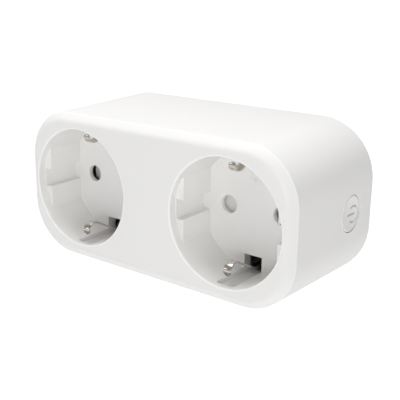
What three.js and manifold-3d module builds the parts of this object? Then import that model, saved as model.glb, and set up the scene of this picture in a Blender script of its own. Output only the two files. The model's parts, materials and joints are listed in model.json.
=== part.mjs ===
// Double smart plug: two earthed sockets in front, one earthed plug behind, one push button on the right end.
// Millimetres. The origin is the centre of the rear plug's end face. +Y runs into the wall, +X to the button
// end and +Z up, so the sockets look along -Y.
import * as THREE from "three";
import { mergeVertices } from "three/addons/utils/BufferGeometryUtils.js";
import Module from "manifold-3d";

const wasm = await Module();
wasm.setup();

// ---- driving dimensions ----
const FIT = 0.3; // clearance between neighbouring pieces

const HOUSING = { halfWidth: 52.8, halfHeight: 24.65, corner: 17.3, depth: 46.6, draft: 1.4, wall: 2.2 };
const SPIGOT = { radius: 19.4, depth: 17, floor: 2.5, sideFlat: 16.3, sideHalf: 10.4, rib: 18.9, ribHalf: 2.5 };
const PIN = { spacing: 19, radius: 2.4, length: 19 };
const WELL = { pitch: 58.4, radius: 19.7, depth: 17.1, wall: 1.2, floor: 2 };
const PAD = { flat: 16.65, front: 3, slot: 19.3, slotHalf: 3 };
const CHANNEL = { half: 3.25, bottom: 20.9, front: 2.1, inner: 14.85 };
const PIN_HOLE = 2.8;
const EDGE_ROLL = { depth: 2, inset: 2.4 };
const POST = { x: 13, z: 18.6, radius: 2.8, pilot: 1.6 };
const SCREW = { head: 2.4, headHeight: 1.5, shank: 1.2, length: 13 };
const COVER = { thickness: 2.3, boss: 3.4, bossDepth: 2.2, counterbore: 2.7, sink: 1.9 };
const BUTTON = { radius: 5.7, y: -31.1, flange: 7, travel: 0.5 };
const CARRIER = { halfX: 14, halfZ: 12, wall: 1.1, plate: 1.5 };
const CONTACT = { radius: 3.1, bore: 2.55, length: 9.4 };
const SHUTTER = { reach: 13.1, half: 3.7, thickness: 2.5, shaft: 1.4 };
const BOARD = { halfX: 42.8, halfZ: 21.4, thickness: 1.6 };
const CLIP = { width: 2.6, thickness: 0.6 };

// planes along Y, worked out from the dimensions above
const BACK_Y = -SPIGOT.depth;
const FRONT_Y = BACK_Y - HOUSING.depth;
const CREASE_Y = FRONT_Y + EDGE_ROLL.depth;
const SEAM_Y = CREASE_Y + 0.2;
const FLOOR_Y = FRONT_Y + WELL.depth;
const FLOOR_BACK_Y = FLOOR_Y + WELL.floor;
const SHUTTER_Y = FLOOR_BACK_Y + FIT;
const CARRIER_Y = SHUTTER_Y + SHUTTER.thickness + FIT;
const CONTACT_Y = CARRIER_Y + CARRIER.plate + FIT;
const BOARD_Y = CONTACT_Y + CONTACT.length + 2 * FIT;
const BOARD_BACK_Y = BOARD_Y + BOARD.thickness;
const COVER_Y = BACK_Y - COVER.thickness;
const STRAP_Y = CONTACT_Y + 3.4;
const BUS_Y = BOARD_BACK_Y + 0.9;
const CORNER = { x: HOUSING.halfWidth - HOUSING.corner, z: HOUSING.halfHeight - HOUSING.corner };
const SOCKET_X = WELL.pitch / 2;
const PIN_X = PIN.spacing / 2;

// ---- finishes ----
function finish(color, roughness = 0.5, metalness = 0) {
  return new THREE.MeshStandardMaterial({ color, roughness, metalness });
}
const FINISH = {
  white: finish(0xf2f2f0, 0.45),
  inner: finish(0xe4e3de, 0.6),
  nickel: finish(0xc9c2b8, 0.28, 1),
  brass: finish(0xc9a254, 0.35, 1),
  steel: finish(0xa9abad, 0.35, 1),
  board: finish(0x1f6b43, 0.5),
  black: finish(0x202225, 0.5),
  blue: finish(0x2f5f9c, 0.5),
  yellow: finish(0xd9b13a, 0.55),
  lens: finish(0xf6f6f2, 0.25),
};

const plug = new THREE.Group();

// ---- solids ----
// a closed, outward-facing copy of a geometry, with shared corners and no flat slivers
function closed(geometry) {
  const source = geometry.clone();
  source.deleteAttribute("normal");
  source.deleteAttribute("uv");
  const merged = mergeVertices(source, 1e-4);
  const index = merged.index.array;
  const at = (i) => new THREE.Vector3().fromBufferAttribute(merged.attributes.position, i);
  const kept = [];
  let volume = 0;
  for (let i = 0; i < index.length; i += 3) {
    const [a, b, c] = [index[i], index[i + 1], index[i + 2]];
    if (a === b || b === c || c === a) continue;
    kept.push([a, b, c]);
    volume += at(a).dot(at(b).cross(at(c)));
  }
  const faces = volume < 0 ? kept.map(([a, b, c]) => [a, c, b]) : kept;
  merged.setIndex(faces.flat());
  return merged;
}

function solid(geometry) {
  const shape = closed(geometry);
  const vertProperties = new Float32Array(shape.attributes.position.array);
  const triVerts = new Uint32Array(shape.index.array);
  return new wasm.Manifold(new wasm.Mesh({ numProp: 3, vertProperties, triVerts }));
}

function geometryOf(manifold) {
  const mesh = manifold.getMesh();
  const geometry = new THREE.BufferGeometry();
  geometry.setAttribute("position", new THREE.BufferAttribute(new Float32Array(mesh.vertProperties), 3));
  geometry.setIndex(new THREE.BufferAttribute(new Uint32Array(mesh.triVerts), 1));
  return geometry;
}

function joined(first, ...rest) {
  return rest.reduce((sum, part) => sum.add(part), first);
}

function cut(body, ...tools) {
  return tools.reduce((left, tool) => left.subtract(tool), body);
}

function add(name, shape, material) {
  const geometry = shape.isBufferGeometry ? closed(shape) : geometryOf(shape);
  geometry.computeVertexNormals();
  const mesh = new THREE.Mesh(geometry, material);
  mesh.name = name;
  plug.add(mesh);
}

function boxGeometry(x0, x1, y0, y1, z0, z1) {
  const box = new THREE.BoxGeometry(x1 - x0, y1 - y0, z1 - z0);
  return box.translate((x0 + x1) / 2, (y0 + y1) / 2, (z0 + z1) / 2);
}

const block = (...corners) => solid(boxGeometry(...corners));

// a round bar along Y
function rodGeometry(radius, y0, y1, x = 0, z = 0, sides = 24) {
  return new THREE.CylinderGeometry(radius, radius, y1 - y0, sides).translate(x, (y0 + y1) / 2, z);
}

const rod = (...sizes) => solid(rodGeometry(...sizes));

// a round bar along X, centred on the button's axis
function crossRodGeometry(radius, x0, x1, sides = 32) {
  const bar = new THREE.CylinderGeometry(radius, radius, x1 - x0, sides).rotateZ(Math.PI / 2);
  return bar.translate((x0 + x1) / 2, BUTTON.y, 0);
}

const crossRod = (...sizes) => solid(crossRodGeometry(...sizes));

// a round piece about Y through (x, z), from [radius, y] pairs that start and end on the axis
function turned(profile, x = 0, z = 0, sides = 24) {
  const points = profile.map(([radius, y]) => new THREE.Vector2(radius, y));
  return new THREE.LatheGeometry(points, sides).translate(x, 0, z);
}

function roundedRect(halfX, halfZ, radius) {
  const shape = new THREE.Shape();
  const x = halfX - radius;
  const z = halfZ - radius;
  shape.absarc(x, z, radius, 0, Math.PI / 2);
  shape.absarc(-x, z, radius, Math.PI / 2, Math.PI);
  shape.absarc(-x, -z, radius, Math.PI, 1.5 * Math.PI);
  shape.absarc(x, -z, radius, 1.5 * Math.PI, 2 * Math.PI);
  shape.closePath();
  return shape;
}

function roundHole(x, z, radius) {
  const hole = new THREE.Path();
  hole.absarc(x, z, radius, 0, 2 * Math.PI, true);
  return hole;
}

// an outline drawn in X and Z, given its thickness from y0 to y1
function plateGeometry(shape, y0, y1, curveSegments = 10) {
  const plate = new THREE.ExtrudeGeometry(shape, { depth: y1 - y0, bevelEnabled: false, curveSegments });
  return plate.rotateX(Math.PI / 2).translate(0, y1, 0);
}

const plateOf = (...sizes) => solid(plateGeometry(...sizes));

// an outline drawn in Y and Z, given its thickness from x0 to x1
function sidePlate(shape, x0, x1) {
  const plate = new THREE.ExtrudeGeometry(shape, { depth: x1 - x0, bevelEnabled: false, curveSegments: 8 });
  const [toY, toZ, toX] = [new THREE.Vector3(0, 1, 0), new THREE.Vector3(0, 0, 1), new THREE.Vector3(1, 0, 0)];
  return plate.applyMatrix4(new THREE.Matrix4().makeBasis(toY, toZ, toX)).translate(x0, 0, 0);
}

// A rounded rectangular tube: a closed [radius, y] profile is turned about Y, then each quarter of the ring is
// moved out to its corner of the rectangle, so the flats between the corners follow the same profile.
function cornerTube(profile, cornerX, cornerZ, quarterSteps = 8) {
  const steps = 4 * quarterSteps;
  const points = profile.map(([radius, y]) => new THREE.Vector2(radius, y));
  const ring = new THREE.LatheGeometry(points, steps, Math.PI / steps);
  const position = ring.attributes.position;
  for (let i = 0; i < position.count; i += 1) {
    position.setX(i, position.getX(i) + Math.sign(position.getX(i)) * cornerX);
    position.setZ(i, position.getZ(i) + Math.sign(position.getZ(i)) * cornerZ);
  }
  return ring;
}

// the outline of a strip that follows a centre line
function ribbon(line, thickness) {
  const side = (sign) =>
    line.map((point, i) => {
      const before = line[Math.max(i - 1, 0)];
      const after = line[Math.min(i + 1, line.length - 1)];
      const along = after.clone().sub(before).normalize();
      return new THREE.Vector2(point.x - along.y * sign, point.y + along.x * sign);
    });
  return new THREE.Shape([...side(thickness / 2), ...side(-thickness / 2).reverse()]);
}

const SIDES = [["left", -1], ["right", 1]];
const ENDS = [["top", 1], ["bottom", -1]];
const POSTS = [[-1, 1], [1, 1], [-1, -1], [1, -1]];

// ---- front panel: face with a rolled edge, two wells, four screw posts ----
function wellBody(x) {
  const cup = rod(WELL.radius + WELL.wall, CREASE_Y, FLOOR_BACK_Y, x, 0, 64);
  const wall = CHANNEL.bottom + 1;
  return cup.add(block(x - CHANNEL.half - 1.2, x + CHANNEL.half + 1.2, CREASE_Y, FLOOR_BACK_Y, -wall, wall));
}

function wellHollow(x) {
  const mouth = rod(WELL.radius, FRONT_Y - 1, FRONT_Y + PAD.front, x, 0, 64);
  const padFront = FRONT_Y + PAD.front - 0.01;
  const flats = block(x - PAD.flat, x + PAD.flat, padFront, FLOOR_Y, -WELL.radius, WELL.radius);
  const bore = rod(WELL.radius, padFront, FLOOR_Y, x, 0, 64).intersect(flats);
  const slots = block(x - PAD.slot, x + PAD.slot, padFront, FLOOR_Y, -PAD.slotHalf, PAD.slotHalf);
  const low = CHANNEL.bottom;
  const channels = block(
    x - CHANNEL.half, x + CHANNEL.half, FRONT_Y + CHANNEL.front, FLOOR_Y, -low, low,
  );
  return joined(mouth, bore, slots, channels);
}

function wellOpenings(x) {
  const [y0, y1] = [FLOOR_Y - 1, FLOOR_BACK_Y + 1];
  const clip = ENDS.map(([, sign]) => {
    const [low, high] = [sign * CHANNEL.inner, sign * CHANNEL.bottom].sort((a, b) => a - b);
    return block(x - CHANNEL.half, x + CHANNEL.half, y0, y1, low, high);
  });
  const pins = [-PIN_X, PIN_X].map((offset) => rod(PIN_HOLE, y0, y1, x + offset, 0));
  return [...clip, ...pins];
}

function frontPanel() {
  const { halfWidth, halfHeight, corner } = HOUSING;
  const { depth: roll, inset } = EDGE_ROLL;
  const face = roundedRect(halfWidth - inset, halfHeight - inset, corner - inset);
  const options = { depth: 1, bevelThickness: roll, bevelSize: inset, bevelSegments: 4, curveSegments: 8 };
  const slab = new THREE.ExtrudeGeometry(face, options).rotateX(Math.PI / 2);
  const body = solid(slab.translate(0, CREASE_Y + options.depth, 0));
  const reach = halfWidth + 1;
  const plate = body.intersect(block(-reach, reach, FRONT_Y - 1, SEAM_Y, -reach, reach));
  const skirtRadius = corner - HOUSING.wall - FIT;
  const skirt = cornerTube(
    [[skirtRadius, CREASE_Y - 0.5], [skirtRadius, CREASE_Y + 5.5], [skirtRadius - 1.4, CREASE_Y + 5.5],
      [skirtRadius - 1.4, CREASE_Y - 0.5], [skirtRadius, CREASE_Y - 0.5]],
    CORNER.x, CORNER.z,
  );
  const postEnd = COVER_Y - COVER.bossDepth - FIT;
  const posts = POSTS.map(([x, z]) => rod(POST.radius, CREASE_Y, postEnd, x * POST.x, z * POST.z, 16));
  const pilots = POSTS.map(([x, z]) =>
    rod(POST.pilot, postEnd - SCREW.length, postEnd + 1, x * POST.x, z * POST.z, 12));
  const wells = SIDES.map(([, side]) => wellBody(side * SOCKET_X));
  const hollows = SIDES.map(([, side]) => wellHollow(side * SOCKET_X));
  const openings = SIDES.flatMap(([, side]) => wellOpenings(side * SOCKET_X));
  return cut(joined(plate, solid(skirt), ...wells, ...posts), ...hollows, ...openings, ...pilots);
}

// ---- body shell: drafted tube with a ledge for the rear cover and the button's hole ----
function bodyShell() {
  const { corner, draft, wall } = HOUSING;
  const front = SEAM_Y + FIT;
  const round = 1.5;
  const back = corner + draft;
  const profile = [
    [corner, front],
    [back - 0.04, BACK_Y - round],
    [back - 0.3 * round, BACK_Y - 0.3 * round],
    [back - round, BACK_Y],
    [back - wall, BACK_Y],
    [back - wall, COVER_Y - FIT],
    [back - wall - 1.4, COVER_Y - FIT],
    [back - wall - 1.4, COVER_Y - FIT - 1.4],
    [back - wall - 0.2, COVER_Y - FIT - 2.8],
    [corner - wall, front],
    [corner, front],
  ];
  const hole = crossRod(BUTTON.radius + FIT, HOUSING.halfWidth - 4, HOUSING.halfWidth + 4);
  return solid(cornerTube(profile, CORNER.x, CORNER.z)).subtract(hole);
}

// ---- rear cover: back plate with the hollow plug body ----
function rearCover() {
  const plateRadius = HOUSING.corner + HOUSING.draft - HOUSING.wall - FIT;
  const outline = roundedRect(CORNER.x + plateRadius, CORNER.z + plateRadius, plateRadius);
  const plate = plateOf(outline, COVER_Y, BACK_Y, 8);
  const spigot = rod(SPIGOT.radius, BACK_Y - 0.5, 0, 0, 0, 64);
  const bosses = POSTS.map(([x, z]) =>
    rod(COVER.boss, COVER_Y - COVER.bossDepth, COVER_Y + 0.5, x * POST.x, z * POST.z, 16));
  const recesses = SIDES.flatMap(([, side]) => [1, -1].map((up) => {
    const [x0, x1] = [side * SPIGOT.sideFlat, side * 21].sort((a, b) => a - b);
    const [z0, z1] = [up * SPIGOT.ribHalf, up * SPIGOT.sideHalf].sort((a, b) => a - b);
    return block(x0, x1, BACK_Y, 1, z0, z1);
  }));
  const ribEnds = SIDES.map(([, side]) => {
    const [x0, x1] = [side * SPIGOT.rib, side * 21].sort((a, b) => a - b);
    return block(x0, x1, BACK_Y, 1, -SPIGOT.ribHalf - 1, SPIGOT.ribHalf + 1);
  });
  const strips = ENDS.flatMap(([, up]) => {
    const [z0, z1] = [up * 16.6, up * 20].sort((a, b) => a - b);
    const [s0, s1] = [up * 16.6, up * 18.3].sort((a, b) => a - b);
    return [block(-3.4, 3.4, BACK_Y, 1, z0, z1), block(-3.4, 3.4, COVER_Y - 1, BACK_Y + 1, s0, s1)];
  });
  const hollowEnd = -SPIGOT.floor;
  const hollow = rod(SPIGOT.radius - 2, COVER_Y - 1, hollowEnd, 0, 0, 48)
    .intersect(block(-14.6, 14.6, COVER_Y - 1, hollowEnd, -15.2, 15.2));
  const pins = [-PIN_X, PIN_X].map((x) => rod(PIN.radius + FIT, hollowEnd - 1, 1, x, 0));
  const screws = POSTS.flatMap(([x, z]) => [
    rod(COVER.counterbore, BACK_Y - COVER.sink, BACK_Y + 1, x * POST.x, z * POST.z, 20),
    rod(SCREW.shank + FIT, COVER_Y - COVER.bossDepth - 1, BACK_Y, x * POST.x, z * POST.z, 12),
  ]);
  return cut(joined(plate, spigot, ...bosses), ...recesses, ...ribEnds, ...strips, hollow, ...pins, ...screws);
}

add("front_panel", frontPanel(), FINISH.white);
add("body_shell", bodyShell(), FINISH.white);
add("rear_cover", rearCover(), FINISH.white);

// ---- plug: two pins, two earth strips, four screws ----
function plugPin(x) {
  const collar = -SPIGOT.floor - FIT;
  return turned([
    [0, BOARD_BACK_Y + 3.1], [1.5, BOARD_BACK_Y + 3.1], [1.5, collar - 2.2], [3.7, collar - 2.2], [3.7, collar],
    [PIN.radius, collar], [PIN.radius, PIN.length - 2], [PIN.radius - 0.5, PIN.length - 0.8],
    [PIN.radius - 1.5, PIN.length], [0, PIN.length],
  ], x, 0);
}

add("live_pin", plugPin(PIN_X), FINISH.nickel);
add("neutral_pin", plugPin(-PIN_X), FINISH.nickel);

for (const [end, up] of ENDS) {
  const line = [[BUS_Y + 1.1, 17.4], [-1.6, 17.4], [-0.8, 17.1], [-0.5, 16.4]].map(([y, z]) =>
    new THREE.Vector2(y, up * (z + 0.02)));
  const strip = sidePlate(ribbon(line.slice(0, 3), 0.9), -3, 3);
  add(`plug_earth_strip_${end}`, strip, FINISH.nickel);
}

POSTS.forEach(([x, z], i) => {
  const seat = BACK_Y - COVER.sink + 0.05;
  const top = seat + SCREW.headHeight;
  const body = solid(turned([
    [0, seat - SCREW.length], [SCREW.shank - 0.6, seat - SCREW.length], [SCREW.shank, seat - SCREW.length + 1.2],
    [SCREW.shank, seat + FIT], [SCREW.head, seat + FIT], [SCREW.head, top - 0.5], [SCREW.head - 0.6, top], [0, top],
  ], x * POST.x, z * POST.z, 20));
  const [cx, cz] = [x * POST.x, z * POST.z];
  const recess = [
    block(cx - 1.4, cx + 1.4, top - 0.9, top + 1, cz - 0.3, cz + 0.3),
    block(cx - 0.3, cx + 0.3, top - 0.9, top + 1, cz - 1.4, cz + 1.4),
  ];
  add(`cover_screw_${i + 1}`, cut(body, ...recess), FINISH.steel);
});

// ---- each socket: earth clips and strap, shutter and its spring, contact carrier, two contacts ----
// Centre lines of the earth clips as [depth behind the front face, distance from the socket's axis]: a straight
// root through the well's floor, a slope in towards the plug, a crest, and a tip turned back into the channel.
const CLIP_ROOT = [STRAP_Y - FIT - FRONT_Y, 18.9];
const CLIP_LINE = {
  top: [CLIP_ROOT, [19, 18.85], [17, 18.7], [12, 17], [8.6, 15.5], [6.8, 15], [5.3, 15.5], [4.2, 16.8], [4.3, 18.2]],
  bottom: [CLIP_ROOT, [19, 18.8], [17, 18.5], [12, 16.2], [8, 14], [5.8, 13.3], [4.2, 13.9], [3.1, 15.2], [3.4, 17]],
};

function earthClip(x, end, up) {
  const line = CLIP_LINE[end].map(([depth, reach]) => new THREE.Vector2(FRONT_Y + depth, up * reach));
  const curve = new THREE.SplineCurve(line);
  return sidePlate(ribbon(curve.getPoints(28), CLIP.thickness), x - CLIP.width / 2, x + CLIP.width / 2);
}

function earthStrap(x) {
  const bar = block(x - 2, x + 2, STRAP_Y, STRAP_Y + 0.8, -20.2, 20.2);
  return bar.add(block(x - 1.2, x + 1.2, STRAP_Y, BUS_Y - FIT, -15, -14.2));
}

function shutter(x) {
  const arms = roundedRect(SHUTTER.reach, SHUTTER.half, SHUTTER.half - 0.05);
  const blade = plateOf(arms, SHUTTER_Y, SHUTTER_Y + SHUTTER.thickness, 6).translate([x, 0, 0]);
  return blade.add(rod(SHUTTER.shaft, SHUTTER_Y + 1, STRAP_Y - 2 * FIT, x, 0, 16));
}

function shutterSpring(x) {
  const [y0, y1] = [CONTACT_Y, STRAP_Y - 3 * FIT];
  return turned([[1.8, y0], [2.8, y0], [2.8, y1], [1.8, y1], [1.8, y0]], x, 0, 20);
}

function contactCarrier(x) {
  const back = BOARD_Y - FIT;
  const { halfX, halfZ, wall } = CARRIER;
  const tub = plateOf(roundedRect(halfX, halfZ, 2), CARRIER_Y, back, 4).translate([x, 0, 0]);
  const room = block(x - halfX + wall, x + halfX - wall, CARRIER_Y + CARRIER.plate, back + 1,
    -halfZ + wall, halfZ - wall);
  const strap = block(x - 2.4, x + 2.4, STRAP_Y - 0.4, back + 1, -halfZ - 1, halfZ + 1);
  const entries = [-PIN_X, PIN_X].map((offset) => rod(PIN_HOLE + 0.2, CARRIER_Y - 1, CONTACT_Y, x + offset, 0, 20));
  const shaft = rod(SHUTTER.shaft + FIT, CARRIER_Y - 1, CONTACT_Y, x, 0, 16);
  return cut(tub, room, strap, ...entries, shaft);
}

function contact(x) {
  const end = CONTACT_Y + CONTACT.length;
  const sleeve = rod(CONTACT.radius, CONTACT_Y, end, x, 0, 20);
  const tail = rod(0.7, end - 1, BOARD_BACK_Y + 0.6, x, 0, 10);
  const bore = rod(CONTACT.bore, CONTACT_Y - 1, end - 1.5, x, 0, 20);
  const slit = block(x - 4, x + 4, CONTACT_Y - 1, end - 2.6, -0.35, 0.35);
  return cut(joined(sleeve, tail), bore, slit);
}

for (const [side, sign] of SIDES) {
  const x = sign * SOCKET_X;
  for (const [end, up] of ENDS) add(`earth_clip_${side}_${end}`, earthClip(x, end, up), FINISH.nickel);
  add(`earth_strap_${side}`, earthStrap(x), FINISH.brass);
  add(`shutter_${side}`, shutter(x), FINISH.inner);
  add(`shutter_spring_${side}`, shutterSpring(x), FINISH.steel);
  add(`contact_carrier_${side}`, contactCarrier(x), FINISH.inner);
  add(`live_contact_${side}`, contact(x + PIN_X), FINISH.brass);
  add(`neutral_contact_${side}`, contact(x - PIN_X), FINISH.brass);
}

// ---- electronics between the sockets and behind them ----
function earthBusbar() {
  const [y0, y1] = [BUS_Y, BUS_Y + 0.8];
  return block(-31, 31, y0, y1, -15.6, -12.8).add(block(-2.4, 2.4, y0, y1, -18.6, 18.6));
}

function mainBoard() {
  const [y0, y1] = [BOARD_Y - 1, BOARD_BACK_Y + 1];
  const board = plateOf(roundedRect(BOARD.halfX, BOARD.halfZ, 13), BOARD_Y, BOARD_BACK_Y, 4);
  const notches = POSTS.map(([x, z]) => rod(POST.radius + FIT, y0, y1, x * POST.x, z * POST.z, 16));
  const holes = SIDES.flatMap(([, sign]) => {
    const x = sign * SOCKET_X;
    const tails = [-PIN_X, PIN_X].map((offset) => rod(1.1, y0, y1, x + offset, 0, 12));
    return [...tails, block(x - 1.6, x + 1.6, y0, y1, -15.4, -13.8)];
  });
  return cut(board, ...notches, ...holes);
}

function terminal(x) {
  const outline = roundedRect(2.7, 2.7, 0.5);
  outline.holes.push(roundHole(0, 0, 1.5 + FIT + 0.05));
  return plateGeometry(outline, BOARD_BACK_Y + FIT, BOARD_BACK_Y + 5.5, 3).translate(x, 0, 0);
}

function electrolytic(x, z, radius, height) {
  const [y0, y1] = [BOARD_Y - FIT - height, BOARD_Y - FIT];
  return turned([
    [0, y1], [radius, y1], [radius, y1 - 1], [radius - 0.4, y1 - 1.6], [radius, y1 - 2.2], [radius, y0 + 0.4],
    [radius - 0.4, y0], [radius - 1, y0 + 0.2], [0, y0 + 0.2],
  ], x, z, 20);
}

function transformer() {
  const y1 = BOARD_Y - FIT;
  const core = block(-7.5, 7.5, y1 - 11, y1, 11, 13.4).add(block(-7.5, 7.5, y1 - 11, y1, 18.6, 21));
  const bobbin = block(-5.5, 5.5, y1 - 10, y1 - 1, 13, 19);
  return joined(core, bobbin);
}

function shunt(x) {
  const line = [[0.3, -4], [3.6, -4], [3.6, 4], [0.3, 4]].map(([y, z]) =>
    new THREE.Vector2(BOARD_BACK_Y + y, z + 4));
  return sidePlate(ribbon(line, 1), x - 1.5, x + 1.5);
}

add("earth_busbar", earthBusbar(), FINISH.brass);
add("main_board", mainBoard(), FINISH.board);
add("live_terminal", terminal(PIN_X), FINISH.brass);
add("neutral_terminal", terminal(-PIN_X), FINISH.brass);
for (const [side, sign] of SIDES) {
  const [x0, x1] = [sign * 1.2, sign * 11.4].sort((a, b) => a - b);
  add(`relay_${side}`, boxGeometry(x0, x1, FLOOR_BACK_Y + FIT, BOARD_Y - FIT, -9.1, 9.1), FINISH.blue);
}
add("transformer", transformer(), FINISH.yellow);
add("input_capacitor", electrolytic(-5.4, -15, 4, 12.5), FINISH.black);
add("output_capacitor", electrolytic(4.6, -14.6, 3.2, 11), FINISH.black);
const PART_Y = BOARD_BACK_Y + FIT;
add("bridge_rectifier", boxGeometry(-20, -15, PART_Y, PART_Y + 2.6, 4, 10), FINISH.black);
add("fuse_resistor", new THREE.CapsuleGeometry(1.7, 6, 4, 12).rotateX(Math.PI / 2)
  .translate(-24, PART_Y + 1.8, -5), FINISH.inner);
add("varistor", rodGeometry(4.2, PART_Y, PART_Y + 3.6, -30, 10, 20), FINISH.blue);
add("current_shunt", shunt(16), FINISH.steel);
const RADIO_Y = PART_Y + 0.8;
add("wifi_board", boxGeometry(22, 38, PART_Y, RADIO_Y, -11, 12.5), FINISH.black);
add("wifi_shield", boxGeometry(24, 36, RADIO_Y + FIT, RADIO_Y + FIT + 2.4, -9.5, 5), FINISH.steel);

// ---- button: cap, light guide, switch and its board ----
const CAP_FACE = HOUSING.halfWidth + HOUSING.draft * (BUTTON.y - CREASE_Y) / (BACK_Y - CREASE_Y) - 0.1;
const WALL_INSIDE = CAP_FACE - HOUSING.wall;
const SWITCH = { board: 43.5, boardThickness: 1, half: 3, height: 2.4, plunger: 1.6, plungerEnd: 48.6 };

function buttonCap() {
  const flange = [WALL_INSIDE - FIT - 1.3, WALL_INSIDE - FIT];
  const body = crossRod(BUTTON.radius, flange[0], CAP_FACE - 0.3, 40)
    .add(crossRod(BUTTON.radius - 0.3, flange[0], CAP_FACE, 40))
    .add(crossRod(BUTTON.flange, flange[0], flange[1], 40));
  const pocket = crossRod(4.6, flange[0] - 1, CAP_FACE - 1, 32);
  const stem = crossRod(SWITCH.plunger, SWITCH.plungerEnd + FIT, CAP_FACE - 0.8, 16);
  return body.subtract(pocket).add(stem);
}

function lightGuide() {
  const ring = crossRod(4.3, WALL_INSIDE - 2.6, CAP_FACE - 1 - FIT, 28);
  return ring.subtract(crossRod(SWITCH.plunger + FIT + 0.1, WALL_INSIDE - 4, CAP_FACE, 16));
}

function switchBody() {
  const x0 = SWITCH.board + SWITCH.boardThickness + FIT;
  const body = block(x0, x0 + SWITCH.height, BUTTON.y - SWITCH.half, BUTTON.y + SWITCH.half,
    -SWITCH.half, SWITCH.half);
  return body.subtract(crossRod(SWITCH.plunger + FIT, x0 + 0.6, x0 + 5, 16));
}

const BOARD_X = [SWITCH.board, SWITCH.board + SWITCH.boardThickness];
add("button_cap", buttonCap(), FINISH.white);
add("button_light_guide", lightGuide(), FINISH.lens);
add("switch_body", switchBody(), FINISH.black);
const plungerStart = BOARD_X[1] + FIT + 0.6 + BUTTON.travel + FIT;
add("switch_plunger", crossRodGeometry(SWITCH.plunger, plungerStart, SWITCH.plungerEnd, 16), FINISH.yellow);
add("button_board", boxGeometry(...BOARD_X, BUTTON.y - 7.4, BUTTON.y + 7.4, -8.5, 8.5), FINISH.board);
const ledX = BOARD_X[1] + FIT;
add("status_led", boxGeometry(ledX, ledX + 0.8, BUTTON.y - 0.5, BUTTON.y + 0.5, 4.2, 5.8), FINISH.lens);

export default plug;
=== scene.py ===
"""Looks of a double smart plug: two earthed sockets in front, one earthed plug behind, a button on one end.

Shapes are in millimetres and become metres where a mesh is made; the stage, the lights and the camera are
in metres. The frame is the CAD model's: the origin is the centre of the rear plug's end face, +Y runs into
the wall, +X to the button end and +Z up.
"""

import json
import math

import bmesh
import bpy
import numpy as np
from mathutils import Matrix, Vector


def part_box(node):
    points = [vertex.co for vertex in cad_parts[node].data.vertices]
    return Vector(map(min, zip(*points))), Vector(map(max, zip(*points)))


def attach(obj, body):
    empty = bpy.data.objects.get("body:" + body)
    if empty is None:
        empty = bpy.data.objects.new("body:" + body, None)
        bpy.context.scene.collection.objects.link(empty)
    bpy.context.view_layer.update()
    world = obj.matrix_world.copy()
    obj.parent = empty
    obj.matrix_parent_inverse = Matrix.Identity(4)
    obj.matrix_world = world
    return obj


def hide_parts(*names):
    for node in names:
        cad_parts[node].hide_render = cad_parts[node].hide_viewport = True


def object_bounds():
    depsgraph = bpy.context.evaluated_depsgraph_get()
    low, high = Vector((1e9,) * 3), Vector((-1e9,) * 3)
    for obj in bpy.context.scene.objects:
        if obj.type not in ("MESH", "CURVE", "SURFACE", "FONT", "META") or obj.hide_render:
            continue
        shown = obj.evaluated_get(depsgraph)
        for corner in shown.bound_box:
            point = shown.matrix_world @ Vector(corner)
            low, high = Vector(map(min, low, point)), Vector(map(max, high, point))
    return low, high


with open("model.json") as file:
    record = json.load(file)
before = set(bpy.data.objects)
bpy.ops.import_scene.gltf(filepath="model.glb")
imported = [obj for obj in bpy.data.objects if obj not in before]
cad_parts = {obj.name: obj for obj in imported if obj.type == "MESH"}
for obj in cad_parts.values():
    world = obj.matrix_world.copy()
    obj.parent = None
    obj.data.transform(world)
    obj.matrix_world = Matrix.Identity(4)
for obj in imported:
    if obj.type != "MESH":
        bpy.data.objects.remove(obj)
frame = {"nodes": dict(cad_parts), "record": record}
cad_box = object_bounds()

MM = 0.001


# ------------------------------------------------------------------ places, from the CAD model
def box_mm(node):
    """Lowest and highest corner of a CAD node."""
    low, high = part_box(node)
    return np.array(low) / MM, np.array(high) / MM


def middle(node):
    """Centre of a CAD node's box."""
    low, high = box_mm(node)
    return (low + high) / 2


PANEL_LOW, PANEL_HIGH = box_mm("front_panel")
BUTTON_LOW, BUTTON_HIGH = box_mm("button_cap")
FRONT = PANEL_LOW[1]
BACK = box_mm("body_shell")[1][1]
BUTTON_Y = middle("button_cap")[1]
SOCKET_X = {side: middle(f"shutter_{side}")[0] for side in ("left", "right")}
ENDS = {"top": 1, "bottom": -1}

CORNER = 17.3  # corner radius of the front panel
DRAFT = 1.4  # growth of that radius over the shell's depth
WALL = 2.2
CENTRE_X, CENTRE_Z = PANEL_HIGH[0] - CORNER, PANEL_HIGH[2] - CORNER  # of the corners' circles
SEAM = FRONT + 2.2  # where the front panel meets the shell
FLOOR = FRONT + 17.1  # of the wells
PIN_X = 9.5  # half the distance between two pins
PAST = 1.0  # how far a tool or a joined solid runs past the surface that it meets


# ------------------------------------------------------------------ surfaces
MERGE = 1e-4  # points closer than this are one point
WIDE_FACE = 0.5  # square millimetres
SQUARE_ON = 0.999999  # share of a normal along one axis from which a face counts as square to it


def grid_quads(rows, columns, close_rows=False):
    """Quads between neighbours of a grid of points numbered row by row. The last column joins the first,
    and with close_rows so does the last row."""
    i = np.arange(rows if close_rows else rows - 1)[:, None]
    j = np.arange(columns)[None, :]
    i2, j2 = (i + 1) % rows, (j + 1) % columns
    quads = np.stack([i * columns + j, i * columns + j2, i2 * columns + j2, i2 * columns + j], -1)
    return quads.reshape(-1, 4)


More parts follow.
